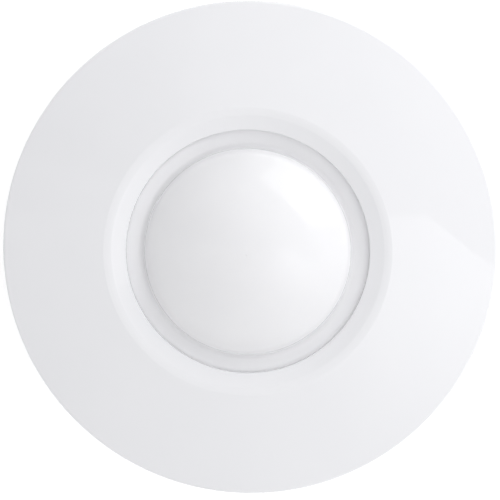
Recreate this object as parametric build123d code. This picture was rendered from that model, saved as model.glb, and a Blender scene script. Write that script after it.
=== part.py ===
from build123d import *
import os
from math import radians, sin, sqrt

# A round, surface-mounted passive-infrared motion sensor for a ceiling or wall.
# A screw-down base carries one round circuit board with the infrared sensor at its
# centre. A glossy domed cover turns onto the base with three bayonet lugs. A domed
# lens is trapped in the cover's recessed aperture by a ring and three screws, and two
# keys on the lens drop into slots in a ring wall round the sensor, so the cover turns
# about a lens that stays in line with the sensor.
# Units are millimetres. The origin is the centre of the mounting face, +Z points from
# that face out through the lens, and angles run in degrees from +X towards +Y.

# ---- driving dimensions: the housing ------------------------------------------------
disc_radius = 55.1
wall = 2.0
running_gap = 0.3

floor_top = 2.4
back_recess = 0.6
back_rib_width = 1.2
contact_ring_inner = 47.0
base_radius, base_chamfer = 54.0, 0.5
cover_bottom = 3.1
cover_foot_radius = 54.3

crown_top = 26.0
crown_sphere = 190.0
funnel_top_radius = 30.8
funnel_depth = 1.15
aperture_radius = 26.8
lip_thickness = 1.2
rim_fillet, inner_rim_fillet, funnel_fillet, lip_fillet = 0.8, 1.0, 4.0, 0.3

crown_centre = crown_top - sqrt(crown_sphere**2 - funnel_top_radius**2)
funnel_bottom = crown_top - funnel_depth
lip_bottom = funnel_bottom - lip_thickness

# ---- the lens and what holds it -----------------------------------------------------
flange_radius = 29.2
flange_thickness = 1.4
flange_gap = 0.15
dish_radius, dish_depth = 27.0, 0.9
dome_radius = 22.9
dome_draft = 0.3
dome_wall_height = 2.9
dome_sphere = 36.0
dome_fillet, dome_root_fillet = 3.6, 1.0
lens_thickness = 0.8

flange_top = lip_bottom - flange_gap
flange_bottom = flange_top - flange_thickness
dome_foot = flange_top - dish_depth
collar_inner = flange_radius + running_gap
collar_outer = collar_inner + 1.5
collar_bottom = flange_bottom - running_gap

retainer_inner = 25.3
retainer_thickness = 2.0
retainer_bottom = collar_bottom - retainer_thickness
retainer_hole_radius = 1.3
retainer_screw = 2.1, 1.2, 0.95, 4.2  # head radius, head height, shank radius, length
boss_circle, boss_radius, boss_top = 34.6, 2.9, 23.8
boss_pilot_radius, boss_pilot_depth = 1.0, 2.3
boss_angles = (90, 210, 330)

key_angles = (60, 240)
key_inner, key_outer = 23.0, 24.4
key_width, key_bottom, key_chamfer = 5.0, 14.4, 0.5
key_slot_bottom = key_bottom - 0.6

# ---- the bayonet --------------------------------------------------------------------
bayonet_angles = (90, 210, 330)
twist_angle = 15.0
rim_inner, rim_outer, rim_top = 46.6, 48.4, 9.0
hook_outer, hook_bottom, hook_top = 51.4, 6.0, 7.8
hook_start, hook_end, stop_end = -7.5, 6.5, -5.1
lug_inner, lug_bottom, lug_top = 49.0, 3.9, 5.7
lug_half_angle = 4.5
root = 0.4
index_angle, index_width, index_proud, index_height = 300, 1.0, 0.25, 3.0

# ---- the base's interfaces ----------------------------------------------------------
slot_offset, slot_length, slot_radius = 30.0, 10.0, 2.25
pad_margin, pad_top = 2.5, 3.4
cable_hole = (0.0, -24.0)
cable_hole_radius, cable_collar_width, cable_collar_top = 7.0, 2.0, 3.0
knockout_hole = (0.0, 24.0)
knockout_radius, knockout_groove, knockout_depth = 7.0, 0.8, 0.8
side_knockout_width, side_knockout_height, side_knockout_depth = 8.0, 8.0, 0.5

# ---- the circuit board --------------------------------------------------------------
board_radius, board_bottom, board_top = 44.0, 8.0, 9.6
board_flat = -41.0
board_notch_radius, board_notch_centre = 6.0, 31.6
board_hole_radius = 1.5
post_circle, post_radius, post_angles = 38.0, 3.2, (95, 215, 325)
post_pilot_radius, post_pilot_bottom = 1.15, 1.6
board_screw = 2.5, 1.7, 1.1, 7.4  # head radius, head height, shank radius, length

# ---- the sensor at the centre -------------------------------------------------------
holder_radius, holder_top, holder_bite = 8.0, 13.2, 2.0
header_radius, header_top = 4.6, 14.0
tab_offset, tab_length, tab_width, tab_angle = 0.3, 1.2, 1.0, 45
can_radius, can_top, can_wall, can_lid = 4.15, 17.4, 0.35, 0.4
window_size, window_lap, window_thickness = 4.2, 0.4, 0.6
foam_inner, foam_outer, foam_top = 6.1, 7.7, 15.6
baffle_inner, baffle_outer, baffle_top = 22.6, 24.8, 17.3

# ---- the terminal block -------------------------------------------------------------
terminal_count, terminal_pitch = 8, 3.5
terminal_y, terminal_depth, terminal_top = -37.0, 8.0, 17.6
terminal_screw_y, screw_well_radius = -36.7, 1.6
terminal_pin_radius, terminal_pin_bottom, terminal_pin_gap = 0.45, 6.8, 0.1
channel_width, channel_depth, channel_bottom, channel_top = 2.5, 6.0, 10.8, 14.2
cage_gap, cage_depth, cage_wall, cage_roof = 0.1, 3.4, 0.4, 0.7
clamp_head_radius, clamp_head_bottom, clamp_head_top = 1.45, 14.9, 16.6
clamp_shank_radius, clamp_shank_bottom = 0.7, 12.4

# ---- the tamper switch --------------------------------------------------------------
tamper_radius, tamper_angle = 38.2, 135
tamper_housing_size, tamper_housing_top = 7.0, 12.8
plunger_shaft_radius, plunger_shaft_bottom = 1.15, 10.1
plunger_cap_radius, plunger_cap_bottom, plunger_cap_edge, plunger_top = 2.4, 14.5, 14.9, 15.4
plunger_travel = 1.6
spring_radius, spring_wire, spring_turns, spring_gap = 1.8, 0.17, 3, 0.02
ramp_half_width, ramp_root = 2.5, 0.8

# ---- controls on the board ----------------------------------------------------------
dip_centre, dip_pitch, dip_count = (14.0, 33.0), 2.54, 3
dip_width, dip_top = 6.2, 13.0
dip_slot_length, dip_slot_width, dip_slot_depth = 3.8, 1.3, 1.2
dip_slider_length, dip_slider_proud, dip_travel = 1.6, 0.8, 2.0
trimmer_centre, trimmer_size, trimmer_top = (27.0, 25.0), 6.6, 13.4
rotor_radius, rotor_bottom, rotor_top, rotor_slot = 2.3, 12.5, 14.0, 0.6

# ---- components on the board: places, and length, width, height ---------------------
led_centre, led_radius, led_barrel = (12.0, 8.0), 1.5, 3.4
relay_centre, relay_size = (-20.0, -26.0), (10.6, 7.4, 5.2)
varistor_centre, varistor_radius, varistor_thickness = (22.0, -33.0), 3.2, 3.0
capacitor_centres = ((-36.5, 12.5), (-37.0, -12.5), (37.0, -12.5))
capacitor_foot, capacitor_foot_height = 6.6, 0.8
capacitor_radius, capacitor_height = 3.1, 4.8
controller_centre, controller_size = (-13.0, 30.2), (12.8, 7.5, 2.3)
amplifier_centre, amplifier_size = (0.0, -14.0), (4.9, 3.9, 1.5)
regulator_centre, regulator_size = (21.0, -22.5), (6.5, 3.5, 1.6)
chip_stand_off = 0.15
lead_pitch, lead_width, lead_thickness, lead_reach = 1.27, 0.42, 0.2, 1.3
chip_circle, chip_length, chip_width, chip_end = 17.5, 2.0, 1.25, 0.35
resistor_height, resistor_angles = 0.5, (45, 60, 75, 90, 105, 120, 135, 150)
ceramic_height, ceramic_angles = 1.0, (195, 210, 225, 240, 300, 315, 330, 345)


# ---- helpers ------------------------------------------------------------------------
def crown_height(radius, inset=0.0):
    """Height of the cover's domed face, or of its underside, at a distance from the axis."""
    return crown_centre + sqrt((crown_sphere - inset) ** 2 - radius**2)


def polar(radius, angle, height=0.0):
    """A place at a distance and an angle from the axis, turned to face outwards."""
    return Rot(0, 0, angle) * Pos(radius, 0, height)


def outline(*pieces):
    """A face in the XZ plane from lines and arcs that join end to end."""
    return make_face([edge for piece in pieces for edge in (Plane.XZ * piece).edges()])


def tube(inner, outer, bottom, top, start=0, end=360):
    """A ring, or from start to end degrees a part of one."""
    corners = (inner, bottom), (outer, bottom), (outer, top), (inner, top)
    section = outline(Polyline(*corners, close=True))
    return Rot(0, 0, start) * revolve(section, Axis.Z, end - start)


def rod(radius, bottom, top, x=0.0, y=0.0):
    """An upright cylinder."""
    return Pos(x, y, (bottom + top) / 2) * Cylinder(radius, top - bottom)


def block(length, width, bottom, top, x=0.0, y=0.0):
    """An upright box, centred on x and y."""
    return Pos(x, y, (bottom + top) / 2) * Box(length, width, top - bottom)


def stadium(length, width, bottom, top, x=0.0):
    """An upright slot shape along X, whose length runs from end to end."""
    return Pos(x, 0, bottom) * extrude(SlotOverall(length, width), top - bottom)


def round_edges(part, radius, height):
    """The circular edges of a turned part at one radius and height."""
    return [
        edge
        for edge in part.edges().filter_by(GeomType.CIRCLE)
        if abs(edge.radius - radius) < 0.01 and abs(edge.arc_center.Z - height) < 0.01
    ]


def upright_edges(part):
    """The vertical edges of a block."""
    return part.edges().filter_by(Axis.Z)


def top_edges(part):
    """The highest edges of a block."""
    return part.edges().group_by(Axis.Z)[-1]


def row_of(count, pitch, centre=0.0):
    """Evenly spaced places, centred."""
    return [centre + (i - (count - 1) / 2) * pitch for i in range(count)]


def pan_screw(head_radius, head_height, shank_radius, length):
    """A pan-head screw with a cross recess; its head sits on z = 0, shank below."""
    recess_bottom = 0.45 * head_height
    head = rod(head_radius, 0, head_height)
    head = fillet(round_edges(head, head_radius, head_height), 0.45 * head_height)
    for turn in (0, 90):
        arm = block(1.2 * head_radius, 0.3 * head_radius, recess_bottom, head_height)
        head -= Rot(0, 0, turn) * arm
    return head + rod(shank_radius, -length, 0)


# ---- the base -----------------------------------------------------------------------
def bayonet_hook():
    """A hook on the rim and the stop beside it, which the cover's lug turns against."""
    hook = tube(rim_outer - root, hook_outer, hook_bottom, hook_top, hook_start, hook_end)
    stop_bottom = lug_bottom - running_gap
    return hook + tube(rim_outer - root, hook_outer, stop_bottom, hook_top, hook_start, stop_end)


def mounting_base():
    """Screw-down plate with the bayonet rim, board posts, screw slots and cable entry."""
    plate = rod(base_radius, 0, floor_top)
    plate = chamfer(round_edges(plate, base_radius, floor_top), base_chamfer)
    plate -= rod(contact_ring_inner, 0, back_recess)
    for turn in (22.5, 67.5, 112.5, 157.5):
        plate += Rot(0, 0, turn) * block(2 * contact_ring_inner, back_rib_width, 0, floor_top)
    plate += tube(rim_inner, rim_outer, floor_top, rim_top)
    for angle in bayonet_angles:
        plate += Rot(0, 0, angle) * bayonet_hook()
    for angle in post_angles:
        plate += polar(post_circle, angle) * rod(post_radius, 0, board_bottom)
        plate -= polar(post_circle, angle) * rod(post_pilot_radius, post_pilot_bottom, board_bottom)
    for x in (-slot_offset, slot_offset):
        width = 2 * slot_radius
        plate += stadium(slot_length + 2 * pad_margin, width + 2 * pad_margin, 0, pad_top, x)
        plate -= stadium(slot_length, width, -1, pad_top + 1, x)
    plate += rod(cable_hole_radius + cable_collar_width, 0, cable_collar_top, *cable_hole)
    plate -= rod(cable_hole_radius, -1, cable_collar_top + 1, *cable_hole)
    groove = tube(knockout_radius - knockout_groove, knockout_radius, 0, back_recess + knockout_depth)
    plate -= Pos(*knockout_hole) * groove
    for angle in (index_angle, index_angle + twist_angle):
        mark = block(2 * index_proud, index_width, 0, floor_top - base_chamfer)
        plate += polar(base_radius, angle) * mark
    return plate


# ---- the cover, which turns and lifts off -------------------------------------------
def cover_shell():
    """The turned shell: side wall, domed face, funnel, lip and the collar round the lens."""
    face_middle = (funnel_top_radius + disc_radius) / 2
    inner_rim = disc_radius - wall
    under_middle = (collar_outer + inner_rim) / 2
    foot = (cover_foot_radius - wall, cover_bottom)
    rim = (disc_radius, crown_height(disc_radius))
    funnel_top = (funnel_top_radius, crown_top)
    collar_root = (collar_outer, crown_height(collar_outer, wall))
    inner_corner = (inner_rim, crown_height(inner_rim, wall))
    section = outline(
        Polyline(foot, (cover_foot_radius, cover_bottom), rim),
        ThreePointArc(rim, (face_middle, crown_height(face_middle)), funnel_top),
        Polyline(
            funnel_top,
            (aperture_radius, funnel_bottom),
            (aperture_radius, lip_bottom),
            (collar_inner, lip_bottom),
            (collar_inner, collar_bottom),
            (collar_outer, collar_bottom),
            collar_root,
        ),
        ThreePointArc(collar_root, (under_middle, crown_height(under_middle, wall)), inner_corner),
        Line(inner_corner, foot),
    )
    shell = revolve(section, Axis.Z)
    shell = fillet(round_edges(shell, *rim), rim_fillet)
    shell = fillet(round_edges(shell, *funnel_top), funnel_fillet)
    shell = fillet(round_edges(shell, aperture_radius, funnel_bottom), lip_fillet)
    return fillet(round_edges(shell, *inner_corner), inner_rim_fillet)


def tamper_ramp():
    """Rib under the cover whose sloping foot lets the plunger rise as the cover turns."""
    run = tamper_radius * sin(radians(twist_angle))
    slope = plunger_travel / run
    start, end = -run - plunger_cap_radius, plunger_cap_radius
    foot = plunger_top + running_gap
    head = crown_height(tamper_radius, wall) + ramp_root
    corners = (start, foot - slope * start), (end, foot - slope * end), (end, head), (start, head)
    side = make_face(Plane.YZ * Polyline(*corners, close=True))
    rib = extrude(side, ramp_half_width, both=True)
    return polar(tamper_radius - plunger_shaft_radius / 2, tamper_angle) * rib


def side_knockout():
    """Groove in the side wall round a panel that breaks out for a surface cable."""
    width, height, groove = side_knockout_width, side_knockout_height, side_knockout_depth
    frame = Rectangle(width, height) - Pos(0, -groove) * Rectangle(width - 2 * groove, height)
    cut = extrude(Plane.YZ.offset(cover_foot_radius - groove) * frame, 2 * wall)
    return Rot(0, 0, 270) * Pos(0, 0, cover_bottom + height / 2) * cut


def front_cover():
    """Domed disc with its lugs, screw bosses, tamper ramp, knock-out and index mark."""
    cover = cover_shell()
    lug_root = cover_foot_radius - wall + root
    for angle in bayonet_angles:
        start, end = angle - lug_half_angle, angle + lug_half_angle
        cover += tube(lug_inner, lug_root, lug_bottom, lug_top, start, end)
    for angle in boss_angles:
        pilot_top = collar_bottom + boss_pilot_depth
        cover += polar(boss_circle, angle) * rod(boss_radius, collar_bottom, boss_top)
        cover -= polar(boss_circle, angle) * rod(boss_pilot_radius, collar_bottom - 1, pilot_top)
    cover += tamper_ramp()
    mark = block(2 * index_proud, index_width, cover_bottom, cover_bottom + index_height)
    cover += polar(cover_foot_radius, index_angle) * mark
    return cover - side_knockout()


def lens():
    """Thin domed lens in a dished flange, with the two keys that hold it in line."""
    shoulder_radius = dome_radius - dome_draft
    shoulder_height = dome_foot + dome_wall_height
    centre = shoulder_height - sqrt(dome_sphere**2 - shoulder_radius**2)
    inner_sphere = dome_sphere - lens_thickness
    inner_radius = shoulder_radius - lens_thickness
    inner_height = centre + sqrt(inner_sphere**2 - inner_radius**2)
    half = shoulder_radius / 2
    section = outline(
        Polyline(
            (flange_radius, flange_bottom),
            (flange_radius, flange_top),
            (dish_radius, flange_top),
            (dome_radius, dome_foot),
            (shoulder_radius, shoulder_height),
        ),
        ThreePointArc(
            (shoulder_radius, shoulder_height),
            (half, centre + sqrt(dome_sphere**2 - half**2)),
            (0, centre + dome_sphere),
        ),
        Line((0, centre + dome_sphere), (0, centre + inner_sphere)),
        ThreePointArc(
            (0, centre + inner_sphere),
            (half, centre + sqrt(inner_sphere**2 - half**2)),
            (inner_radius, inner_height),
        ),
        Polyline(
            (inner_radius, inner_height),
            (dome_radius - lens_thickness, flange_bottom),
            (flange_radius, flange_bottom),
        ),
    )
    body = revolve(section, Axis.Z)
    body = fillet(round_edges(body, shoulder_radius, shoulder_height), dome_fillet)
    body = fillet(round_edges(body, inner_radius, inner_height), dome_fillet - lens_thickness)
    body = fillet(round_edges(body, dome_radius, dome_foot), dome_root_fillet)
    for angle in key_angles:
        key = block(key_outer - key_inner, key_width, key_bottom, flange_bottom + root)
        key = chamfer(key.edges().group_by(Axis.Z)[0].filter_by(Axis.Y), key_chamfer)
        body += polar((key_inner + key_outer) / 2, angle) * key
    return body


def lens_retainer():
    """Ring with three ears that traps the lens flange in the cover's collar."""
    ring = tube(retainer_inner, collar_outer, retainer_bottom, collar_bottom)
    web_length = boss_circle - collar_inner
    for angle in boss_angles:
        ear = rod(boss_radius, retainer_bottom, collar_bottom)
        ear += block(web_length, 2 * boss_radius, retainer_bottom, collar_bottom, -web_length / 2)
        ear -= rod(retainer_hole_radius, retainer_bottom, collar_bottom)
        ring += polar(boss_circle, angle) * ear
    return ring


def retainer_screws():
    """Three small screws, heads towards the circuit board."""
    screw = Rot(180, 0, 0) * pan_screw(*retainer_screw)
    return [polar(boss_circle, angle, retainer_bottom) * screw for angle in boss_angles]


# ---- the circuit board and its fixings ----------------------------------------------
def circuit_board():
    """Round board, notched over the screw slots and cut flat where the wires come up."""
    board = rod(board_radius, board_bottom, board_top)
    board -= block(2 * board_radius, 20, board_bottom, board_top, 0, board_flat - 10)
    for side in (0, 180):
        notch = rod(board_notch_radius, board_bottom, board_top)
        notch += block(20, 2 * board_notch_radius, board_bottom, board_top, 10)
        board -= polar(board_notch_centre, side) * notch
    for angle in post_angles:
        board -= polar(post_circle, angle) * rod(board_hole_radius, board_bottom, board_top)
    for x in row_of(terminal_count, terminal_pitch):
        hole_radius = terminal_pin_radius + terminal_pin_gap
        board -= rod(hole_radius, board_bottom, board_top, x, terminal_screw_y)
    return board


def board_screws():
    """Three screws that hold the board to the base's posts."""
    screw = pan_screw(*board_screw)
    return [polar(post_circle, angle, board_top) * screw for angle in post_angles]


# ---- the sensor ---------------------------------------------------------------------
def sensor_holder():
    """Plastic spacer that lifts the sensor off the board."""
    body = rod(holder_radius, board_top, holder_top)
    body = fillet(round_edges(body, holder_radius, holder_top), 0.6)
    for turn in (0, 120, 240):
        body -= polar(holder_radius, turn) * rod(holder_bite, board_top, holder_top)
    return body


def sensor_header():
    """Steel header that the sensor's can is welded to, with its locating tab."""
    tab = block(tab_length, tab_width, holder_top, header_top)
    tab = polar(header_radius + tab_offset, tab_angle) * tab
    return rod(header_radius, holder_top, header_top) + tab


def sensor_can():
    """Steel can with a square opening for the infrared window."""
    can = rod(can_radius, header_top, can_top)
    can = fillet(round_edges(can, can_radius, can_top), 0.6)
    can -= rod(can_radius - can_wall, header_top, can_top - can_lid)
    return can - block(window_size, window_size, header_top, can_top)


def sensor_window():
    """Infrared filter, held under the can's opening."""
    size, top = window_size + 2 * window_lap, can_top - can_lid
    return block(size, size, top - window_thickness, top)


def sensor_foam():
    """Foam ring that keeps insects and draughts from the sensor."""
    return tube(foam_inner, foam_outer, holder_top, foam_top)


def optics_baffle():
    """Ring wall round the sensor, with slots for the lens keys."""
    ring = tube(baffle_inner, baffle_outer, board_top, baffle_top)
    for angle in key_angles:
        slot = block(4, key_width + 2 * running_gap, key_slot_bottom, baffle_top)
        ring -= polar((baffle_inner + baffle_outer) / 2, angle) * slot
    return ring


# ---- terminals ----------------------------------------------------------------------
def terminal_housing():
    """Moulded block with a wire channel and a screw well for each terminal."""
    length = terminal_count * terminal_pitch
    front = terminal_y - terminal_depth / 2
    body = block(length, terminal_depth, board_top, terminal_top, 0, terminal_y)
    body = chamfer(top_edges(body).filter_by(Axis.X).sort_by(Axis.Y)[0], 1.6)
    for x in row_of(terminal_count, terminal_pitch):
        channel_y = front + channel_depth / 2
        hole_radius = terminal_pin_radius + terminal_pin_gap
        body -= block(channel_width, channel_depth, channel_bottom, channel_top, x, channel_y)
        body -= rod(screw_well_radius, channel_top, terminal_top, x, terminal_screw_y)
        body -= rod(hole_radius, board_top, channel_bottom, x, terminal_screw_y)
    return body


def terminal_cages():
    """A wire clamp and solder pin for each terminal."""
    bottom, top = channel_bottom + cage_gap, channel_top - cage_gap
    width = channel_width - 2 * cage_gap
    cage = block(width, cage_depth, bottom, top)
    cage -= block(width - 2 * cage_wall, cage_depth, bottom + cage_wall, top - cage_roof)
    cage -= rod(clamp_shank_radius + cage_gap, top - cage_roof, top)
    cage += rod(terminal_pin_radius, terminal_pin_bottom, bottom)
    return [Pos(x, terminal_screw_y, 0) * cage for x in row_of(terminal_count, terminal_pitch)]


def terminal_screws():
    """Slotted clamp screws."""
    screw = rod(clamp_head_radius, clamp_head_bottom, clamp_head_top)
    screw -= block(2 * clamp_head_radius, 0.5, clamp_head_top - 0.7, clamp_head_top)
    screw += rod(clamp_shank_radius, clamp_shank_bottom, clamp_head_bottom)
    return [Pos(x, terminal_screw_y, 0) * screw for x in row_of(terminal_count, terminal_pitch)]


# ---- the tamper switch --------------------------------------------------------------
def tamper_housing():
    """Guide block for the plunger."""
    body = block(tamper_housing_size, tamper_housing_size, board_top, tamper_housing_top)
    body = chamfer(upright_edges(body), 0.6)
    body -= rod(plunger_shaft_radius + 0.1, plunger_shaft_bottom - 0.2, tamper_housing_top)
    return polar(tamper_radius, tamper_angle) * body


def tamper_plunger():
    """Sprung button with a domed cap, which the cover holds down."""
    rise = plunger_top - plunger_cap_edge
    sphere = (plunger_cap_radius**2 + rise**2) / (2 * rise)
    cap = rod(plunger_cap_radius, plunger_cap_bottom, plunger_top)
    cap &= Pos(0, 0, plunger_top - sphere) * Sphere(sphere)
    shaft = rod(plunger_shaft_radius, plunger_shaft_bottom, plunger_cap_bottom)
    return polar(tamper_radius, tamper_angle) * (cap + shaft)


def tamper_spring():
    """Coil spring between the guide block and the button's cap."""
    room = plunger_cap_bottom - tamper_housing_top
    height = room - 2 * (spring_wire + spring_gap)
    path = Helix(height / spring_turns, height, spring_radius)
    section = Plane(path @ 0, z_dir=path % 0) * Circle(spring_wire)
    start = tamper_housing_top + spring_wire + spring_gap
    return polar(tamper_radius, tamper_angle, start) * sweep(section, path)


# ---- controls -----------------------------------------------------------------------
def dip_housing():
    """Option switch body with a slot for each slide."""
    x, y = dip_centre
    bottom = dip_top - dip_slot_depth
    body = block(dip_count * dip_pitch + 0.8, dip_width, board_top, dip_top, x, y)
    body = chamfer(top_edges(body), 0.3)
    for place in row_of(dip_count, dip_pitch, x):
        body -= block(dip_slot_width, dip_slot_length, bottom, dip_top, place, y)
    return body


def dip_slider(x):
    """One slide, parked at the end of its slot nearest the board's centre."""
    y = dip_centre[1] - dip_travel / 2
    bottom, top = dip_top - dip_slot_depth + 0.1, dip_top + dip_slider_proud
    slide = block(dip_slot_width - 0.2, dip_slider_length, bottom, top, x, y)
    return chamfer(top_edges(slide), 0.15)


def trimmer_housing():
    """Sensitivity trimmer body, with one corner cut to mark its first pin."""
    body = block(trimmer_size, trimmer_size, board_top, trimmer_top)
    body = chamfer(upright_edges(body).sort_by(Axis.X)[-1], 1.2)
    body -= rod(rotor_radius + 0.15, rotor_bottom - 0.1, trimmer_top)
    return Pos(*trimmer_centre) * body


def trimmer_rotor():
    """Turning disc with a cross slot and a pointer notch."""
    rotor = rod(rotor_radius, rotor_bottom, rotor_top)
    for turn in (0, 90):
        arm = block(1.5 * rotor_radius, rotor_slot, rotor_top - rotor_slot, rotor_top)
        rotor -= Rot(0, 0, turn) * arm
    rotor -= block(1.0, 1.0, rotor_top - rotor_slot / 2, rotor_top, 0, rotor_radius)
    return Pos(*trimmer_centre) * rotor


# ---- components ---------------------------------------------------------------------
def alarm_led():
    """Indicator that shines through the lens."""
    barrel_top = board_top + led_barrel
    body = rod(led_radius, board_top, barrel_top) + rod(led_radius + 0.4, board_top, board_top + 1)
    return Pos(*led_centre) * (body + Pos(0, 0, barrel_top) * Sphere(led_radius))


def package(centre, size, stand_off, edge):
    """Moulded body with chamfered top edges, standing off the board."""
    length, width, height = size
    bottom = board_top + stand_off
    body = block(length, width, bottom, bottom + height, *centre)
    return chamfer(top_edges(body), edge)


def capacitor_bases():
    """Square feet of the can capacitors, with two corners cut to mark the positive pin."""
    foot_top = board_top + capacitor_foot_height
    foot = block(capacitor_foot, capacitor_foot, board_top, foot_top)
    foot = chamfer(upright_edges(foot).sort_by(Axis.X)[-2:], 1.2)
    return [Pos(x, y, 0) * foot for x, y in capacitor_centres]


def capacitor_cans():
    """Aluminium cans with a waist and a scored top."""
    radius, bottom = capacitor_radius, board_top + capacitor_foot_height
    top = bottom + capacitor_height
    can = fillet(round_edges(rod(radius, bottom, top), radius, top), 0.4)
    can -= tube(radius - 0.25, radius, bottom + 0.9, bottom + 1.4)
    for turn in (0, 60, 120):
        can -= Rot(0, 0, turn) * block(1.2 * radius, 0.25, top - 0.15, top)
    return [Pos(x, y, 0) * can for x, y in capacitor_centres]


def surge_varistor():
    """Coated disc standing on two leads."""
    disc = Rot(0, 90, 0) * Cylinder(varistor_radius, varistor_thickness)
    disc = fillet(disc.edges().filter_by(GeomType.CIRCLE), varistor_thickness / 3)
    body = Pos(0, 0, board_top + varistor_radius + 0.8) * disc
    for y in (-2.0, 2.0):
        body += rod(0.35, board_top, board_top + varistor_radius, 0, y)
    return Pos(*varistor_centre) * body


def side_leads(centre, size, count):
    """Gull-wing leads along both long sides of a chip."""
    edge, middle = size[1] / 2, board_top + chip_stand_off + size[2] / 2
    knee, toe = edge + lead_reach * 0.35, edge + lead_reach
    shape = Polyline(
        (edge, middle),
        (edge, middle + lead_thickness),
        (knee, middle + lead_thickness),
        (knee + lead_thickness, board_top + lead_thickness),
        (toe, board_top + lead_thickness),
        (toe, board_top),
        (knee, board_top),
        (knee - lead_thickness, middle),
        close=True,
    )
    lead = extrude(make_face(Plane.YZ * shape), lead_width / 2, both=True)
    places = [Pos(x, 0, 0) * lead for x in row_of(count, lead_pitch)]
    return [Pos(*centre) * Rot(0, 0, turn) * place for turn in (0, 180) for place in places]


def component_leads():
    """The leads of the three packaged chips."""
    leads = side_leads(controller_centre, controller_size, 10)
    leads += side_leads(amplifier_centre, amplifier_size, 4)
    return leads + side_leads(regulator_centre, regulator_size, 3)


def chip_bodies(angles, height):
    """Ceramic bodies of the small chips, set round a circle."""
    body = block(chip_width, chip_length - 2 * chip_end, board_top, board_top + height)
    return [polar(chip_circle, angle) * body for angle in angles]


def chip_ends(angles, height):
    """Plated ends of the small chips."""
    end = block(chip_width, chip_end, board_top, board_top + height)
    reach = (chip_length - chip_end) / 2
    places = [polar(chip_circle, angle) for angle in angles]
    return [place * Pos(0, side, 0) * end for place in places for side in (-reach, reach)]


# ---- every sub-part, by the name of its node ----------------------------------------
nodes = {
    "mounting_base": mounting_base(),
    "front_cover": front_cover(),
    "lens": lens(),
    "lens_retainer": lens_retainer(),
    "retainer_screws": retainer_screws(),
    "circuit_board": circuit_board(),
    "board_screws": board_screws(),
    "sensor_holder": sensor_holder(),
    "sensor_header": sensor_header(),
    "sensor_can": sensor_can(),
    "sensor_window": sensor_window(),
    "sensor_foam": sensor_foam(),
    "optics_baffle": optics_baffle(),
    "terminal_housing": terminal_housing(),
    "terminal_cages": terminal_cages(),
    "terminal_screws": terminal_screws(),
    "tamper_housing": tamper_housing(),
    "tamper_plunger": tamper_plunger(),
    "tamper_spring": tamper_spring(),
    "dip_housing": dip_housing(),
    "trimmer_housing": trimmer_housing(),
    "trimmer_rotor": trimmer_rotor(),
    "alarm_led": alarm_led(),
    "alarm_relay": package(relay_centre, relay_size, 0, 0.4),
    "capacitor_bases": capacitor_bases(),
    "capacitor_cans": capacitor_cans(),
    "surge_varistor": surge_varistor(),
    "controller_chip": package(controller_centre, controller_size, chip_stand_off, 0.2),
    "amplifier_chip": package(amplifier_centre, amplifier_size, chip_stand_off, 0.2),
    "regulator_chip": package(regulator_centre, regulator_size, chip_stand_off, 0.2),
    "component_leads": component_leads(),
    "chip_resistors": chip_bodies(resistor_angles, resistor_height),
    "chip_capacitors": chip_bodies(ceramic_angles, ceramic_height),
    "resistor_ends": chip_ends(resistor_angles, resistor_height),
    "capacitor_ends": chip_ends(ceramic_angles, ceramic_height),
}
for number, place in enumerate(row_of(dip_count, dip_pitch, dip_centre[0]), 1):
    nodes[f"dip_slider_{number}"] = dip_slider(place)

os.makedirs("parts", exist_ok=True)
for name, shape in nodes.items():
    pieces = shape if isinstance(shape, list) else [shape]
    solids = [solid for piece in pieces for solid in piece.solids()]
    export_step(Compound(solids), f"parts/{name}.step")
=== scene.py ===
from math import acos, copysign, cos, pi, radians, sin, sqrt

import bmesh
import bpy
from mathutils import Matrix, Vector, noise


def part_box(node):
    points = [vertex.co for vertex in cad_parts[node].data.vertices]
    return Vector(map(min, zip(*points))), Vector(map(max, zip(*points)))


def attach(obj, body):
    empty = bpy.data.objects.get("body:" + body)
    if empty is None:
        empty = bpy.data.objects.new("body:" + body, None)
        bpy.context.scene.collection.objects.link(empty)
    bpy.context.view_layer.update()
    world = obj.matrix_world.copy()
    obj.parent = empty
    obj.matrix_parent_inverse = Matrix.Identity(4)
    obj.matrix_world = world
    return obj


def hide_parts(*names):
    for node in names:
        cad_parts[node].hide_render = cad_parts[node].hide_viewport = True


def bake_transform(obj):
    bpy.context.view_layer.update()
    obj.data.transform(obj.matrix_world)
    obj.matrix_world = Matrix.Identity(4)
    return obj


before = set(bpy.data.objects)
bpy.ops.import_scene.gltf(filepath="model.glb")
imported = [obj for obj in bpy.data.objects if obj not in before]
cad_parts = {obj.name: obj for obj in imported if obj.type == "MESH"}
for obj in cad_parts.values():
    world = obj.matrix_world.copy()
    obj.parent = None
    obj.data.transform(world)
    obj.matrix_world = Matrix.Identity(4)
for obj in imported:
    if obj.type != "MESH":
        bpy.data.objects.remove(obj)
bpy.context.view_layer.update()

MM = 0.001

# ---- camera: close, slightly off the axis, up and to the right -----------------------
TILT, TURN = radians(5.75), radians(64)
DISTANCE = 0.340
LENS = 109.66
AIM = Vector((0.32, 0.01, 19.0)) * MM


def add_camera():
    """The camera, with +Y upwards in its picture."""
    back = Vector((sin(TILT) * cos(TURN), sin(TILT) * sin(TURN), cos(TILT)))
    data = bpy.data.cameras.new("camera")
    data.lens = LENS
    data.clip_start = 0.01
    camera = bpy.data.objects.new("camera", data)
    right = Vector((0, 1, 0)).cross(back).normalized()
    up = back.cross(right)
    turn = Matrix((right, up, back)).transposed().to_4x4()
    camera.matrix_world = Matrix.Translation(AIM + back * DISTANCE) @ turn
    bpy.context.scene.collection.objects.link(camera)
    bpy.context.scene.camera = camera


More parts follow.
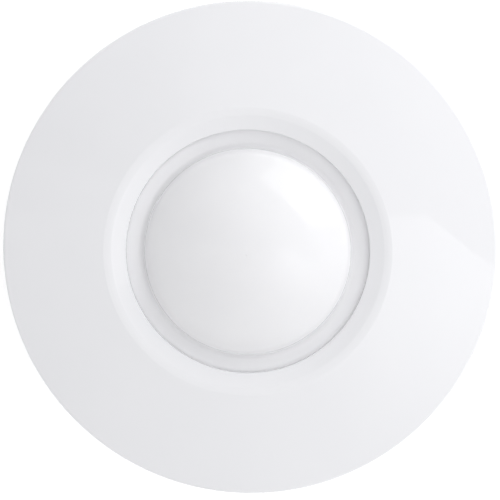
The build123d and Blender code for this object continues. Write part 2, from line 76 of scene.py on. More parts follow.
# ---- where things are, in millimetres, as the frame has them --------------------------
BOARD_TOP = 9.6
SPRING_BOTTOM, SPRING_TOP = 12.8, 14.5
TAMPER_RADIUS, TAMPER_ANGLE = 38.2, 135
FOAM_RADII, FOAM_HEIGHTS = (6.1, 7.7), (13.2, 15.6)
HOLDER_RADIUS = 8.0
DOME_RADIUS, DOME_WALL = 36.0, 0.8
INDICATOR_PLACE = (12.0, 8.0)
CHIP_CIRCLE = 17.5
RESISTOR_ANGLES, RESISTOR_HEIGHT = (45, 60, 75, 90, 105, 120, 135, 150), 0.5
CERAMIC_ANGLES, CERAMIC_HEIGHT = (195, 210, 225, 240, 300, 315, 330, 345), 1.0
CAN_PLACES = ((-36.5, 12.5), (-37.0, -12.5), (37.0, -12.5))
CAN_RADIUS, CAN_TOP = 3.1, 15.2
POST_CIRCLE, POST_ANGLES = 38.0, (95, 215, 325)
TERMINAL_COUNT, TERMINAL_PITCH, TERMINAL_BACK = 8, 3.5, -33.0
LEADED = {  # chip: its middle, half its width, its leads on a side, the height of its top
    "controller": ((-13.0, 30.2), 3.75, 10, 12.05),
    "amplifier": ((0.0, -14.0), 1.95, 4, 11.25),
    "regulator": ((21.0, -22.5), 1.75, 3, 11.35),
}
LEAD_PITCH, LEAD_REACH = 1.27, 0.9
OUTLINED = {  # component: its middle, and the size of the rectangle printed round it
    "relay": ((-20.0, -26.0), (11.6, 8.4)),
    "option_switch": ((14.0, 33.0), (9.6, 7.4)),
    "trimmer": ((27.0, 25.0), (7.8, 7.8)),
    "varistor": ((22.0, -33.0), (4.6, 8.6)),
    "terminals": ((0.0, -37.0), (29.0, 9.0)),
}


# ---- how thick the board's copper, solder and print are, in millimetres ----------------
COPPER_BOTTOM = BOARD_TOP - 0.01
TRACK_TOP, PAD_TOP, VIA_TOP = BOARD_TOP + 0.035, BOARD_TOP + 0.04, BOARD_TOP + 0.045
PRINT_BOTTOM, PRINT_TOP = BOARD_TOP + 0.001, BOARD_TOP + 0.05


# ---- materials ----------------------------------------------------------------------
class Finish:
    """A procedural material. Its coordinates are the object's own, in metres."""

    def __init__(self, name, **sockets):
        self.material = bpy.data.materials.new(name)
        self.material.use_nodes = True
        self.tree = self.material.node_tree
        self.shader = self.tree.nodes["Principled BSDF"]
        self.where = self.node("ShaderNodeTexCoord").outputs["Object"]
        for socket, value in sockets.items():
            self.shader.inputs[socket.replace("_", " ")].default_value = value

    def node(self, kind, **settings):
        made = self.tree.nodes.new(kind)
        for name, value in settings.items():
            setattr(made, name, value)
        return made

    def join(self, source, target):
        self.tree.links.new(source, target)

    def noise(self, size, detail=2.0, rough=0.5, place=None):
        """Noise whose blobs are about size metres across, from 0 to 1."""
        made = self.node("ShaderNodeTexNoise")
        made.inputs["Scale"].default_value = 1 / size
        made.inputs["Detail"].default_value = detail
        made.inputs["Roughness"].default_value = rough
        self.join(place or self.where, made.inputs["Vector"])
        return made.outputs["Fac"]

    def sum(self, first, second):
        """Two numbers added."""
        made = self.node("ShaderNodeMath", operation="ADD")
        self.join(first, made.inputs[0])
        self.join(second, made.inputs[1])
        return made.outputs["Value"]

    def between(self, factor, low, high, start=0.3, end=0.7):
        """A number that goes from low to high as factor goes from start to end."""
        made = self.node("ShaderNodeMapRange")
        for socket, value in zip(("From Min", "From Max", "To Min", "To Max"), (start, end, low, high)):
            made.inputs[socket].default_value = value
        self.join(factor, made.inputs["Value"])
        return made.outputs["Result"]

    def shade(self, factor, *stops):
        """A colour that follows factor through (position, colour) stops."""
        made = self.node("ShaderNodeValToRGB")
        ramp = made.color_ramp
        while len(ramp.elements) < len(stops):
            ramp.elements.new(0.5)
        for element, (position, colour) in zip(ramp.elements, stops):
            element.position = position
            element.color = (*colour, 1)
        self.join(factor, made.inputs["Fac"])
        return made.outputs["Color"]

    def colour(self, source):
        self.join(source, self.shader.inputs["Base Color"])

    def rough(self, source):
        self.join(source, self.shader.inputs["Roughness"])

    def bump(self, height, depth):
        """Adds relief: depth is the height, in metres, that factor 1 stands for."""
        made = self.node("ShaderNodeBump")
        made.inputs["Strength"].default_value = 1
        made.inputs["Distance"].default_value = depth
        self.join(height, made.inputs["Height"])
        target = self.shader.inputs["Normal"]
        if target.links:
            self.join(target.links[0].from_socket, made.inputs["Normal"])
        self.join(made.outputs["Normal"], target)

    def mottle(self, size, dark, light, detail=2.0, rough=0.5, high=0.7):
        """Colour that drifts from dark to light, in clouds about size metres across."""
        cloud = self.noise(size, detail, rough)
        self.colour(self.shade(cloud, (0.3, dark), (high, light)))

    def polish(self, size, low, high, detail=3.0, rough=0.5):
        """Roughness that drifts between two values."""
        self.rough(self.between(self.noise(size, detail, rough), low, high))

    def relief(self, size, depth, detail=2.0):
        """Bumps about size metres across and depth metres high."""
        self.bump(self.noise(size, detail), depth)


def cover_finish():
    """Glossy white ABS: faint waviness from the mould and fine handling marks in the polish."""
    finish = Finish("cover_gloss", IOR=1.5)
    finish.mottle(0.018, (0.852, 0.854, 0.876), (0.864, 0.865, 0.886), 3)
    finish.polish(0.004, 0.018, 0.035, 4, 0.7)
    finish.relief(0.009, 0.000005, 1)
    finish.relief(0.0008, 0.0000003)
    return finish.material


def lens_finish():
    """Milky polyethylene sheet: smooth, waxy, light goes a little way in; gate mark at the middle."""
    finish = Finish("lens_milk", IOR=1.5, Subsurface_Weight=0.6, Subsurface_Scale=0.0006)
    finish.shader.inputs["Subsurface Radius"].default_value = (1.0, 1.0, 1.0)
    finish.mottle(0.007, (0.862, 0.862, 0.880), (0.874, 0.874, 0.890), 3)
    finish.polish(0.003, 0.02, 0.04, 3, 0.6)
    finish.relief(0.006, 0.000003, 1)
    flat = finish.node("ShaderNodeVectorMath", operation="MULTIPLY")
    flat.inputs[1].default_value = (1, 1, 0)
    finish.join(finish.where, flat.inputs[0])
    away = finish.node("ShaderNodeVectorMath", operation="LENGTH")
    finish.join(flat.outputs["Vector"], away.inputs[0])
    gate_inner, gate_outer, gate_depth = 0.00015, 0.00035, 0.00005
    finish.bump(finish.between(away.outputs["Value"], 0, 1, gate_inner, gate_outer), gate_depth)
    return finish.material


def satin_finish(name, colour, roughness=0.45, grain=0.0004, depth=0.00001):
    """Moulded plastic with a fine spark-eroded grain and slightly cloudy colour."""
    finish = Finish(name)
    finish.mottle(0.006, [0.965 * c for c in colour], colour, 3)
    finish.polish(0.0015, roughness - 0.06, roughness + 0.08)
    finish.relief(grain, depth)
    return finish.material


def metal_finish(name, colour, roughness=0.28, along="Z", draw=0.00025):
    """Metal with fine lines drawn along one axis, and dull patches."""
    finish = Finish(name, Metallic=1.0)
    stretch = finish.node("ShaderNodeMapping")
    stretch.inputs["Scale"].default_value = tuple(0.06 if axis == along else 1.0 for axis in "XYZ")
    finish.join(finish.where, stretch.inputs["Vector"])
    lines = finish.noise(draw, 3, place=stretch.outputs["Vector"])
    finish.mottle(0.0016, [0.72 * c for c in colour], colour, 4, 0.65, 0.65)
    finish.rough(finish.between(lines, roughness - 0.1, roughness + 0.12))
    finish.bump(lines, 0.000004)
    return finish.material


def board_finish(name, base, light):
    """Solder mask over glass cloth: the weave shows as a faint checked relief."""
    finish = Finish(name, Coat_Weight=0.35, Coat_Roughness=0.12)
    weave = []
    for direction in ("X", "Y"):
        wave = finish.node("ShaderNodeTexWave", bands_direction=direction)
        wave.inputs["Scale"].default_value = 420
        wave.inputs["Distortion"].default_value = 0.6
        finish.join(finish.where, wave.inputs["Vector"])
        weave.append(wave.outputs["Fac"])
    cloth = finish.sum(*weave)
    finish.mottle(0.005, base, light, 3)
    finish.polish(0.0012, 0.28, 0.42)
    finish.bump(cloth, 0.000006)
    return finish.material


def foam_finish():
    """Dark open-cell foam: cells a third of a millimetre across, with painted shade darkening each cell's
    hollow middle and lighter colour on the cell walls.
    """
    finish = Finish("foam_cells", Roughness=0.95, Sheen_Weight=0.3, Sheen_Roughness=0.6)
    cells = finish.node("ShaderNodeTexVoronoi")
    cells.inputs["Scale"].default_value = 3200
    finish.join(finish.where, cells.inputs["Vector"])
    depth = cells.outputs["Distance"]
    # painted shade: the colour darkens towards each cell's sunken middle, following the same depth as the
    # bump
    finish.colour(finish.shade(depth, (0.15, (0.012, 0.012, 0.014)), (0.6, (0.075, 0.075, 0.085))))
    finish.bump(depth, 0.00012)
    return finish.material


def filter_finish():
    """The infrared window: nearly black, polished, with a faint violet coating."""
    finish = Finish("infrared_window", Coat_Weight=1.0, Coat_Roughness=0.03)
    finish.mottle(0.002, (0.020, 0.012, 0.030), (0.045, 0.022, 0.060))
    finish.polish(0.0006, 0.08, 0.16)
    finish.relief(0.0012, 0.000002)
    return finish.material


def indicator_finish():
    """Red-tinted clear epoxy with tiny flow marks."""
    finish = Finish("indicator_red", Transmission_Weight=0.75, IOR=1.5)
    finish.mottle(0.0012, (0.75, 0.035, 0.025), (0.90, 0.06, 0.04))
    finish.polish(0.0008, 0.05, 0.14, 2)
    finish.relief(0.0015, 0.00001, 1)
    return finish.material


def resistor_finish():
    """Chip resistors: white ceramic below, a black glaze over the top."""
    finish = Finish("resistor_glaze")
    split = finish.node("ShaderNodeSeparateXYZ")
    finish.join(finish.where, split.inputs["Vector"])
    edge = BOARD_TOP + 0.8 * RESISTOR_HEIGHT
    top = finish.between(split.outputs["Z"], 0, 1, edge * MM, (edge + 0.02) * MM)
    finish.colour(finish.shade(top, (0.4, (0.72, 0.71, 0.68)), (0.6, (0.018, 0.018, 0.022))))
    finish.polish(0.0004, 0.22, 0.42)
    finish.relief(0.0003, 0.000008)
    return finish.material


def dress(material, *names):
    """Gives CAD nodes a new material."""
    for name in names:
        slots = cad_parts[name].data.materials
        slots.clear()
        slots.append(material)


def dress_all():
    """A finish for every CAD node; returns the finishes that new pieces share."""
    gloss, milk = cover_finish(), lens_finish()
    inner = satin_finish("inner_satin", (0.80, 0.80, 0.77), 0.42)
    black = satin_finish("black_satin", (0.035, 0.035, 0.038), 0.4)
    white = satin_finish("slider_white", (0.86, 0.86, 0.83), 0.35, 0.0002, 0.000004)
    steel = metal_finish("zinc_plate", (0.78, 0.79, 0.80), 0.3)
    nickel = metal_finish("nickel_plate", (0.80, 0.77, 0.71), 0.22)
    tin = metal_finish("tinned_lead", (0.82, 0.82, 0.81), 0.34, "X")
    dress(gloss, "front_cover")
    dress(milk, "lens")
    dress(satin_finish("base_satin", (0.80, 0.80, 0.81), 0.4, 0.0006, 0.000012), "mounting_base")
    dress(inner, "lens_retainer", "tamper_plunger")
    dress(satin_finish("holder_ivory", (0.78, 0.76, 0.69), 0.45), "sensor_holder")
    dress(satin_finish("baffle_satin", (0.74, 0.74, 0.73), 0.5), "optics_baffle")
    dress(steel, "retainer_screws", "board_screws")
    dress(board_finish("solder_mask", (0.010, 0.105, 0.040), (0.014, 0.135, 0.052)), "circuit_board")
    dress(nickel, "sensor_header", "sensor_can", "terminal_screws")
    dress(filter_finish(), "sensor_window")
    dress(satin_finish("terminal_green", (0.030, 0.300, 0.110), 0.38, 0.0003), "terminal_housing")
    dress(metal_finish("tinned_brass", (0.80, 0.70, 0.45), 0.3), "terminal_cages")
    dress(black, "tamper_housing", "capacitor_bases")
    dress(satin_finish("switch_blue", (0.020, 0.085, 0.380), 0.35, 0.0002, 0.000005),
          "dip_housing", "trimmer_housing")
    dress(white, "dip_slider_1", "dip_slider_2", "dip_slider_3", "trimmer_rotor")
    dress(indicator_finish(), "alarm_led")
    dress(satin_finish("relay_ivory", (0.76, 0.73, 0.62), 0.3, 0.0003, 0.000005), "alarm_relay")
    dress(metal_finish("can_aluminium", (0.86, 0.87, 0.88), 0.26), "capacitor_cans")
    dress(satin_finish("varistor_blue", (0.025, 0.10, 0.42), 0.2, 0.0012, 0.00004), "surge_varistor")
    dress(satin_finish("chip_epoxy", (0.030, 0.030, 0.033), 0.55, 0.00012, 0.000008),
          "controller_chip", "amplifier_chip", "regulator_chip")
    dress(tin, "component_leads", "resistor_ends", "capacitor_ends")
    dress(resistor_finish(), "chip_resistors")
    dress(satin_finish("ceramic_tan", (0.50, 0.36, 0.22), 0.5, 0.0001, 0.000006), "chip_capacitors")
    return {"milk": milk, "black": black, "white": white, "tin": tin}


# ---- mesh helpers -------------------------------------------------------------------
def polar(radius, degrees):
    """A place on the board at a distance and an angle from the axis."""
    return Vector((radius * cos(radians(degrees)), radius * sin(radians(degrees))))


def around(sides):
    """The angles of evenly spaced points on a circle."""
    return [2 * pi * i / sides for i in range(sides)]


def bridge(bm, near, far):
    """A band of faces between two closed rings of as many points."""
    for i in range(len(near)):
        j = (i + 1) % len(near)
        bm.faces.new((near[i], near[j], far[j], far[i]))


def slab(bm, outline, bottom, top):
    """A closed flat solid from an outline that turns anticlockwise."""
    low = [bm.verts.new((x * MM, y * MM, bottom * MM)) for x, y in outline]
    high = [bm.verts.new((x * MM, y * MM, top * MM)) for x, y in outline]
    bm.faces.new(low[::-1])
    bm.faces.new(high)
    bridge(bm, low, high)


def disc(bm, place, radius, bottom, top, sides=20):
    """A flat round solid."""
    outline = [(place[0] + radius * cos(t), place[1] + radius * sin(t)) for t in around(sides)]
    slab(bm, outline, bottom, top)


def turned(bm, profile, sides, shift):
    """A closed solid turned about Z from a closed profile of (radius, height) points.

    Shift takes each point to where it belongs.
    """
    rings = []
    for radius, height in profile:
        places = [Vector((radius * cos(t), radius * sin(t), height)) for t in around(sides)]
        rings.append([bm.verts.new(shift(place) * MM) for place in places])
    for near, far in zip(rings, rings[1:] + rings[:1]):
        bridge(bm, near, far)


def washer(bm, place, inner, outer, bottom, top, sides=24):
    """A flat ring."""
    middle = Vector((*place, 0))
    profile = ((inner, bottom), (outer, bottom), (outer, top), (inner, top))
    turned(bm, profile, sides, lambda spot: spot + middle)


def patch(bm, middle, size, bottom, top, turn=0.0):
    """A flat rectangle, turned about its middle by turn degrees."""
    c, s = cos(radians(turn)), sin(radians(turn))
    corners = ((-1, -1), (1, -1), (1, 1), (-1, 1))
    offsets = [(i * size[0] / 2, j * size[1] / 2) for i, j in corners]
    slab(bm, [(middle[0] + x * c - y * s, middle[1] + x * s + y * c) for x, y in offsets], bottom, top)


def strip(bm, points, width, bottom, top):
    """A flat strip of even width along a path, with mitred corners."""
    points = [Vector(p) for p in points]
    left, right = [], []
    for i, point in enumerate(points):
        following = points[min(i + 1, len(points) - 1)]
        ahead = following - point if following != point else point - points[i - 1]
        before = point - points[i - 1] if i else ahead
        a, b = before.normalized(), ahead.normalized()
        across = Vector((-(a + b).y, (a + b).x)).normalized()
        reach = width / 2 / max(0.4, across.dot(Vector((-a.y, a.x))))
        left.append(point + across * reach)
        right.append(point - across * reach)
    slab(bm, [(p.x, p.y) for p in right + left[::-1]], bottom, top)


def add_piece(name, bm, material, body, smooth=None):
    """Turns a bmesh into a piece that rides on a body. Edges under smooth degrees are rounded."""
    bmesh.ops.recalc_face_normals(bm, faces=bm.faces)
    mesh = bpy.data.meshes.new(name)
    bm.to_mesh(mesh)
    bm.free()
    made = bpy.data.objects.new(name, mesh)
    bpy.context.scene.collection.objects.link(made)
    mesh.materials.append(material)
    if smooth is not None:
        mesh.shade_smooth()
        mesh.set_sharp_from_angle(angle=radians(smooth))
    if body:
        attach(made, body)
    return made


# ---- the tamper spring --------------------------------------------------------------
def add_spring(material):
    """Coil spring with closed end turns, built at one length; on the real sensor it stretches as the button
    rises.
    """
    wire, play = 0.16, 0.02
    radius, turns, closed = 1.8, 3.2, 0.35
    steps, sides = 128, 10
    low, high = SPRING_BOTTOM + wire + play, SPRING_TOP - wire - play
    middle = polar(TAMPER_RADIUS, TAMPER_ANGLE)
    line = []
    for i in range(steps + 1):
        turn = turns * i / steps
        rise = min(1, max(0, (turn - closed) / (turns - 2 * closed)))
        spot = middle + polar(radius, 360 * turn)
        line.append(Vector((*spot, low + (high - low) * rise)))
    bm = bmesh.new()
    rings = []
    for i, place in enumerate(line):
        along = (line[min(i + 1, steps)] - line[max(i - 1, 0)]).normalized()
        outward = (place - Vector((*middle, place.z))).normalized()
        upward = along.cross(outward)
        spokes = [cos(t) * outward + sin(t) * upward for t in around(sides)]
        rings.append([bm.verts.new((place + wire * spoke) * MM) for spoke in spokes])
    for near, far in zip(rings, rings[1:]):
        bridge(bm, near, far)
    bm.faces.new(rings[0][::-1])
    bm.faces.new(rings[-1])
    spring = add_piece("tamper_coil", bm, material, None, smooth=50)
    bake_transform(spring)
    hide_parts("tamper_spring")


# ---- the foam ring ------------------------------------------------------------------
def add_foam(material):
    """Die-cut foam ring: crowned faces, soft edges and open cells on its surface."""
    (inner, outer), (bottom, top) = FOAM_RADII, FOAM_HEIGHTS
    side_gap, bottom_gap, top_gap = 0.06, 0.02, 0.03
    squareness, cell_size, cell_depth = 0.4, 0.55, 0.22
    low, high = bottom + bottom_gap, top - top_gap
    middle, centre = (inner + outer) / 2, (low + high) / 2
    profile_points, sides = 44, 300
    half, tall = (outer - inner) / 2 - side_gap, (high - low) / 2

    def pores(place):
        cell = noise.voronoi(place / cell_size)[0]
        depth = max(0, cell_size - cell[0]) * cell_depth
        core = Vector((place.x, place.y, 0)).normalized() * middle
        core.z = centre
        return place + (core - place).normalized() * depth

    profile = []
    for t in around(profile_points):
        across, up = (copysign(abs(part) ** squareness, part) for part in (cos(t), sin(t)))
        profile.append((middle + half * across, centre + tall * up))
    bm = bmesh.new()
    turned(bm, profile, sides, pores)
    foam = add_piece("foam_ring", bm, material, "base", smooth=80)
    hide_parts("sensor_foam")


# ---- the lens's inner face ----------------------------------------------------------
FACET_CIRCLES = ((0, 5.2, 1), (5.2, 12.0, 8), (12.0, 18.6, 16))
FACET_PITCH, FACET_DEPTH, FACET_SEAM = 1.1, 0.13, 0.16


def facet_relief(radius, angle):
    """How far the inner face stands out: steps round each small lens's middle, and its seams."""
    circles = (circle for circle in FACET_CIRCLES if radius <= circle[1])
    inner, outer, count = next(circles, FACET_CIRCLES[-1])
    sector = 2 * pi / count
    own = (int(angle / sector) + 0.5) * sector
    spot = 0 if count == 1 else (inner + outer) / 2
    dx = radius * cos(angle) - spot * cos(own)
    dy = radius * sin(angle) - spot * sin(own)
    step = (sqrt(dx * dx + dy * dy) / FACET_PITCH) % 1
    seams = [outer - radius, radius - inner if inner else outer]
    if count > 1:
        seams += [radius * abs(sin(angle - own + side * sector / 2)) for side in (-1, 1)]
    return FACET_DEPTH if min(seams) < FACET_SEAM else FACET_DEPTH * step


def add_lens_facets(material):
    """Skin of small stepped lenses moulded on the inside of the dome, in circles."""
    gap, thick = 0.02, 0.16
    ring_count, sides, reach = 74, 300, FACET_CIRCLES[-1][1]
    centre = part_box("lens")[1][2] / MM - DOME_RADIUS
    sphere = DOME_RADIUS - DOME_WALL

    def ring_at(bm, radius, inside):
        ring = []
        for angle in around(sides):
            down = gap + thick - facet_relief(radius, angle) if inside else gap
            height = centre + sqrt((sphere - down) ** 2 - radius**2)
            ring.append(bm.verts.new((radius * cos(angle) * MM, radius * sin(angle) * MM, height * MM)))
        return ring

    bm = bmesh.new()
    rims = []
    for inside in (False, True):
        apex = centre + sphere - gap - (thick if inside else 0)
        top = bm.verts.new((0, 0, apex * MM))
        rings = [ring_at(bm, reach * (i + 1) / ring_count, inside) for i in range(ring_count)]
        for i in range(sides):
            bm.faces.new((top, rings[0][i], rings[0][(i + 1) % sides]))
        for near, far in zip(rings, rings[1:]):
            bridge(bm, far, near)
        rims.append(rings[-1])
    bridge(bm, *rims)
    add_piece("lens_facets", bm, material, "lens", smooth=12)


# ---- the circuit board's copper, solder and print -------------------------------------
def lead_places():
    """The middle of each chip lead's foot, and the side of the chip that it is on."""
    places = []
    for (x, y), shoulder, count, _ in LEADED.values():
        for i in range(count):
            along = x + (i - (count - 1) / 2) * LEAD_PITCH
            places += [(along, y + side * (shoulder + LEAD_REACH), side) for side in (-1, 1)]
    return places


def chip_end_places():
    """The middle, way out, angle and height of each small chip's plated ends."""
    places = []
    for angles, height in ((RESISTOR_ANGLES, RESISTOR_HEIGHT), (CERAMIC_ANGLES, CERAMIC_HEIGHT)):
        for angle in angles:
            outward = polar(1, angle)
            sideways = Vector((-outward.y, outward.x))
            for side in (-1, 1):
                places.append((polar(CHIP_CIRCLE, angle) + sideways * side, sideways * side, angle, height))
    return places


def bent(start, end):
    """A path that leaves start on a 45-degree slant and reaches end straight."""
    dx, dy = end[0] - start[0], end[1] - start[1]
    slant = min(abs(dx), abs(dy))
    knee = (start[0] + copysign(slant, dx), start[1] + copysign(slant, dy))
    return [start] + [knee] * (knee not in (start, end)) + [end]


def arc(radius, start, end, step=4):
    """A path round the axis."""
    count = max(2, int(abs(end - start) / step))
    return [tuple(polar(radius, start + (end - start) * i / count)) for i in range(count + 1)]


def board_nets():
    """The board's conductors, as (path, width), and the places of its vias."""
    fine, bus, spoke, heavy, edge = 0.28, 0.3, 0.26, 0.8, 0.7
    nets, vias = [], []

    def track(path, width, *via_ends):
        nets.append((path, width))
        vias.extend(path[end] for end in via_ends)

    (middle, row), shoulder, count, _ = LEADED["controller"]
    upper, lower = row + shoulder + 0.95, row - shoulder - 0.95
    for i in range(count):
        x = middle + (i - (count - 1) / 2) * LEAD_PITCH
        track(bent((x, upper), (x - 0.9, upper + 2.5 + 0.55 * (i % 3))), fine, -1)
    for i in range(3, count):
        x = middle + (i - (count - 1) / 2) * LEAD_PITCH
        track(bent((x, lower), (x + 0.3, lower - 0.7 - 0.55 * ((i + 1) % 2))), fine, -1)
    buses = ((98, -3, 20, 4), (160, 3, 222, -5), (270, 2, 300, -3))  # degrees: start, step, end, step
    for k in range(4):
        for start, start_step, end, end_step in buses:
            track(arc(26.4 + 0.75 * k, start + start_step * k, end + end_step * k), bus, 0, -1)
    for i in range(TERMINAL_COUNT):
        x = (i - (TERMINAL_COUNT - 1) / 2) * TERMINAL_PITCH
        track(bent((x, TERMINAL_BACK), (0.75 * x, TERMINAL_BACK + 3.4 + 0.7 * (i % 2))), heavy, -1)
    for k, angle in enumerate(RESISTOR_ANGLES + CERAMIC_ANGLES):
        for side, near, far in ((-1, 1.5, 4.2 + 0.7 * (k % 2)), (1, 1.2, 3.6)):
            path = [tuple(polar(CHIP_CIRCLE + side * reach, angle - 3.2 * side)) for reach in (near, far)]
            track(path, spoke, -1)
    for k in range(3):
        track(arc(10.2 + 0.8 * k, 20 + 5 * k, 330 - 8 * k), bus, 0, -1)
    track(arc(42.9, -60, 240), edge)
    for x, y in CAN_PLACES:
        side = 1 if x < 0 else -1
        track(bent((x + side * 3.6, y), (x + side * 7.0, y - 2.2)), heavy, -1)
    return nets, vias


def add_board_copper(material):
    """Tracks under the solder mask, which stand a little above the board, each at its own height."""
    nets, vias = board_nets()
    via_hole, via_rim = 0.17, 0.38
    bm = bmesh.new()
    for k, (path, width) in enumerate(nets):
        strip(bm, path, width, COPPER_BOTTOM, TRACK_TOP + 0.0002 * (k % 7))
    for via in vias:
        washer(bm, via, via_hole, via_rim, COPPER_BOTTOM, VIA_TOP)
    add_piece("board_tracks", bm, material, "base")


def fillet(bm, place, outward, height):
    """A wedge of solder against the end of a small chip."""
    half_width, run, climb = 0.58, 0.45, 0.62
    across = Vector((outward.y, -outward.x)) * half_width
    foot, tall = outward * run, BOARD_TOP + climb * height
    corners = (
        (place - across, PAD_TOP), (place + across, PAD_TOP),
        (place + across + foot, PAD_TOP), (place - across + foot, PAD_TOP),
        (place - across, tall), (place + across, tall),
    )
    verts = [bm.verts.new((p.x * MM, p.y * MM, z * MM)) for p, z in corners]
    for face in ((3, 2, 1, 0), (0, 1, 5, 4), (4, 5, 2, 3), (0, 4, 3), (1, 2, 5)):
        bm.faces.new([verts[i] for i in face])


def add_board_solder(material):
    """Tinned pads and solder fillets."""
    lead_pad, lead_shift = (0.62, 1.3), 0.1
    chip_pad, chip_shift = (1.45, 1.05), 0.2
    can_pad, can_shift = (1.5, 1.3), 3.3
    screw_pad = (1.6, 3.0)
    bm = bmesh.new()
    for x, y, side in lead_places():
        patch(bm, (x, y + side * lead_shift), lead_pad, COPPER_BOTTOM, PAD_TOP)
    for place, outward, angle, height in chip_end_places():
        patch(bm, place + outward * chip_shift, chip_pad, COPPER_BOTTOM, PAD_TOP, angle)
        fillet(bm, place, outward, height)
    for angle in POST_ANGLES:
        washer(bm, polar(POST_CIRCLE, angle), *screw_pad, COPPER_BOTTOM, PAD_TOP, 40)
    for x, y in CAN_PLACES:
        for side in (-1, 1):
            patch(bm, (x + side * can_shift, y), can_pad, COPPER_BOTTOM, PAD_TOP)
    add_piece("board_solder", bm, material, "base")


def print_rectangle(bm, middle, size, line=0.18):
    """A printed rectangle round a component."""
    (x, y), (length, width) = middle, size
    for side in (-1, 1):
        patch(bm, (x, y + side * width / 2), (length + line, line), PRINT_BOTTOM, PRINT_TOP)
        patch(bm, (x + side * length / 2, y), (line, width - line), PRINT_BOTTOM, PRINT_TOP)


def add_board_print(material):
    """White outlines of the components, with polarity and first-pin marks."""
    can_outline, plus_bars, plus_place = (7.6, 7.6), ((1.2, 0.2), (0.2, 1.2)), (5.0, 3.0)
    chip_line, chip_line_reach = (0.16, 2.2), 0.95
    tamper_line, tamper_line_reach = (0.2, 7.6), 4.6
    holder_ring = (HOLDER_RADIUS + 0.5, HOLDER_RADIUS + 0.68)
    indicator_ring = (2.2, 2.38)
    pin_mark = 0.3
    bm = bmesh.new()
    for middle, size in OUTLINED.values():
        print_rectangle(bm, middle, size)
    for x, y in CAN_PLACES:
        print_rectangle(bm, (x, y), can_outline)
        plus = (x + copysign(plus_place[0], -x), y + plus_place[1])
        for bar in plus_bars:
            patch(bm, plus, bar, PRINT_BOTTOM, PRINT_TOP + 0.002 * bar[0])
    for angle in RESISTOR_ANGLES + CERAMIC_ANGLES:
        for side in (-1, 1):
            place = polar(CHIP_CIRCLE + side * chip_line_reach, angle)
            patch(bm, place, chip_line, PRINT_BOTTOM, PRINT_TOP, angle)
    for (x, y), shoulder, count, _ in LEADED.values():
        first_pin = (x - (count / 2 + 0.4) * LEAD_PITCH, y - shoulder - LEAD_REACH)
        disc(bm, first_pin, pin_mark, PRINT_BOTTOM, PRINT_TOP)
    washer(bm, INDICATOR_PLACE, *indicator_ring, PRINT_BOTTOM, PRINT_TOP, 40)
    washer(bm, (0.0, 0.0), *holder_ring, PRINT_BOTTOM, PRINT_TOP, 96)
    place = polar(TAMPER_RADIUS - tamper_line_reach, TAMPER_ANGLE)
    patch(bm, place, tamper_line, PRINT_BOTTOM, PRINT_TOP, TAMPER_ANGLE)
    add_piece("board_print", bm, material, "base")


def add_can_prints(material):
    """Black polarity prints on the capacitors' lids."""
    chord, radius, steps = 1.25, CAN_RADIUS - 0.42, 16
    half = acos(chord / radius)
    turns = [half * (2 * i / steps - 1) for i in range(steps + 1)]
    bm = bmesh.new()
    for x, y in CAN_PLACES:
        reach = -radius if x < 0 else radius
        outline = [(x + reach * cos(t), y + reach * sin(t)) for t in turns]
        slab(bm, outline, CAN_TOP - 0.002, CAN_TOP + 0.02)
    add_piece("can_prints", bm, material, "base")


def add_chip_dots(material):
    """Pale first-pin dots on the chips."""
    dot, inset = 0.42, 1.0
    bm = bmesh.new()
    for (x, y), shoulder, count, top in LEADED.values():
        spot = (x - (count / 2 - 0.6) * LEAD_PITCH, y - shoulder + inset)
        disc(bm, spot, dot, top - 0.002, top + 0.015, 28)
    add_piece("chip_dots", bm, material, "base")


# ---- stage and light ----------------------------------------------------------------
FLOOR_SIZE, FLOOR_GLOW = 6.0, 0.3
WALLS = {"even": 0.78, "right": 0.18, "up": 0.15}
HORIZON = {"even": 0.0, "right": 0.26, "up": 0.07}
ROOM_TINT = (0.985, 0.985, 1.0, 1)
CEILING = 1.5
PANELS = {  # name: outline and middle of the glow, in ceiling heights; reach; glow at middle and rim
    "ceiling_panel": (
        ((-3.5, -3.5), (3.3, -3.5), (3.3, -1.87), (0.55, 0.025), (-3.5, 0.025)),
        (0.72, -0.14), 0.75, (1.95, 0.90),
    ),
    "dim_panel": (
        ((-3.5, 0.87), (-0.70, 0.18), (-0.3, 0.12), (0.05, 3.5), (-3.5, 3.5)),
        (0.1, 0.9), 1.9, (0.65, 0.3),
    ),
}
WINDOW_DISTANCE = 1.45
WINDOWS = {  # name: directions of the corners, direction of the middle, glow
    "softbox": (
        ((0.277, 0.892, 0.358), (0.091, 0.774, 0.626), (0.670, 0.230, 0.706), (0.920, 0.260, 0.294)),
        (0.55, 0.60, 0.58), 2.15,
    ),
    "low_window": (
        ((0.02, 0.98, 0.08), (0.02, 0.94, 0.30), (0.94, 0.02, 0.30), (0.98, 0.02, 0.08)),
        (0.70, 0.70, 0.15), 2.3,
    ),
}


def link_mesh(name, corners):
    """An object that is one flat face."""
    mesh = bpy.data.meshes.new(name)
    mesh.from_pydata(corners, [], [range(len(corners))])
    made = bpy.data.objects.new(name, mesh)
    bpy.context.scene.collection.objects.link(made)
    return made


def add_floor():
    """A plain white floor under the sensor; seen from below it lets the view through."""
    half = FLOOR_SIZE / 2
    floor = link_mesh("floor", [(-half, -half, 0), (half, -half, 0), (half, half, 0), (-half, half, 0)])
    finish = Finish("floor_white", Roughness=0.9, Emission_Strength=FLOOR_GLOW)
    finish.mottle(0.3, (0.93, 0.93, 0.93), (0.95, 0.95, 0.95))
    finish.shader.inputs["Emission Color"].default_value = (1, 1, 1, 1)
    under = finish.node("ShaderNodeBsdfTransparent")
    side = finish.node("ShaderNodeNewGeometry").outputs["Backfacing"]
    mix = finish.node("ShaderNodeMixShader")
    finish.join(side, mix.inputs["Fac"])
    finish.join(finish.shader.outputs["BSDF"], mix.inputs[1])
    finish.join(under.outputs["BSDF"], mix.inputs[2])
    finish.join(mix.outputs["Shader"], finish.tree.nodes["Material Output"].inputs["Surface"])
    floor.data.materials.append(finish.material)


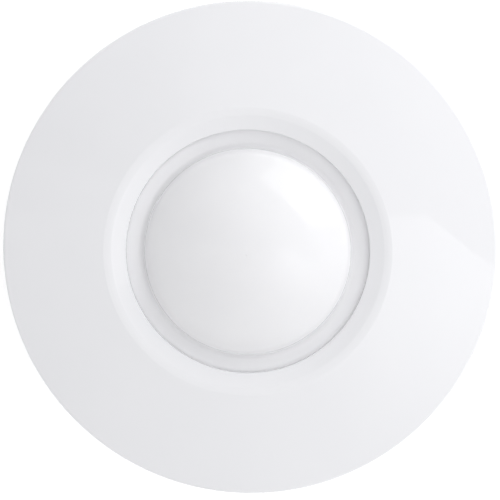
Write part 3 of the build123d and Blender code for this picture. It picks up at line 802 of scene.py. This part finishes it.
class Sums:
    """Adds math nodes to a node tree."""

    def __init__(self, tree):
        self.tree = tree

    def math(self, operation, *values):
        made = self.tree.nodes.new("ShaderNodeMath")
        made.operation = operation
        for value, socket in zip(values, made.inputs):
            if isinstance(value, (int, float)):
                socket.default_value = value
            else:
                self.tree.links.new(value, socket)
        return made.outputs["Value"]

    def plane(self, axes, glow):
        """A level, plus a rise towards +X and a rise towards +Y."""
        right = self.math("MULTIPLY_ADD", axes["X"], glow["right"], glow["even"])
        return self.math("MULTIPLY_ADD", axes["Y"], glow["up"], right)


def add_world():
    """A soft white room whose light changes gently from side to side and near the horizon."""
    world = bpy.data.worlds.new("studio")
    bpy.context.scene.world = world
    world.use_nodes = True
    nodes, links = world.node_tree.nodes, world.node_tree.links
    split = nodes.new("ShaderNodeSeparateXYZ")
    links.new(nodes.new("ShaderNodeTexCoord").outputs["Generated"], split.inputs["Vector"])
    axes = split.outputs
    sums = Sums(world.node_tree)
    low = sums.math("POWER", sums.math("SUBTRACT", 1, sums.math("ABSOLUTE", axes["Z"])), 4)
    total = sums.math("MULTIPLY_ADD", low, sums.plane(axes, HORIZON), sums.plane(axes, WALLS))
    background = nodes["Background"]
    background.inputs["Color"].default_value = ROOM_TINT
    links.new(total, background.inputs["Strength"])


def add_light(name, corners):
    """A flat light that the camera doesn't see; returns its node tree and its emission strength."""
    light = link_mesh(name, corners)
    material = bpy.data.materials.new(name)
    material.use_nodes = True
    tree = material.node_tree
    glow = tree.nodes.new("ShaderNodeEmission")
    tree.links.new(glow.outputs["Emission"], tree.nodes["Material Output"].inputs["Surface"])
    light.data.materials.append(material)
    light.visible_camera = False
    return tree, glow.inputs["Strength"]


def add_panel(name, outline, middle, reach, levels):
    """A large pale panel overhead, brightest in the middle of its glow and fading by reach."""
    tree, strength = add_light(name, [(x * CEILING, y * CEILING, CEILING) for x, y in outline])
    away = tree.nodes.new("ShaderNodeVectorMath")
    away.operation = "DISTANCE"
    away.inputs[1].default_value = (middle[0] * CEILING, middle[1] * CEILING, CEILING)
    tree.links.new(tree.nodes.new("ShaderNodeTexCoord").outputs["Object"], away.inputs[0])
    fade = tree.nodes.new("ShaderNodeMapRange")
    fade.interpolation_type = "SMOOTHSTEP"
    for socket, value in zip(("From Min", "From Max", "To Min", "To Max"), (0, reach * CEILING, *levels)):
        fade.inputs[socket].default_value = value
    tree.links.new(away.outputs["Value"], fade.inputs["Value"])
    tree.links.new(fade.outputs["Result"], strength)


def add_window(name, directions, axis, glow):
    """A flat four-cornered light, given by the directions of its corners and of its middle."""
    corners = []
    for direction in directions:
        towards = Vector(direction)
        corners.append(towards * WINDOW_DISTANCE / towards.dot(Vector(axis)))
    strength = add_light(name, corners)[1]
    strength.default_value = glow


# ---- the scene ----------------------------------------------------------------------
bpy.context.scene.view_settings.view_transform = "Standard"
add_camera()
add_floor()
add_world()
for name, panel in PANELS.items():
    add_panel(name, *panel)
for name, window in WINDOWS.items():
    add_window(name, *window)

finishes = dress_all()
add_spring(metal_finish("spring_steel", (0.55, 0.56, 0.58), 0.25, "Z", 0.0001))
add_foam(foam_finish())
add_lens_facets(finishes["milk"])
add_board_copper(board_finish("mask_over_copper", (0.018, 0.200, 0.075), (0.024, 0.240, 0.092)))
add_board_solder(finishes["tin"])
add_board_print(finishes["white"])
add_can_prints(finishes["black"])
add_chip_dots(finishes["white"])
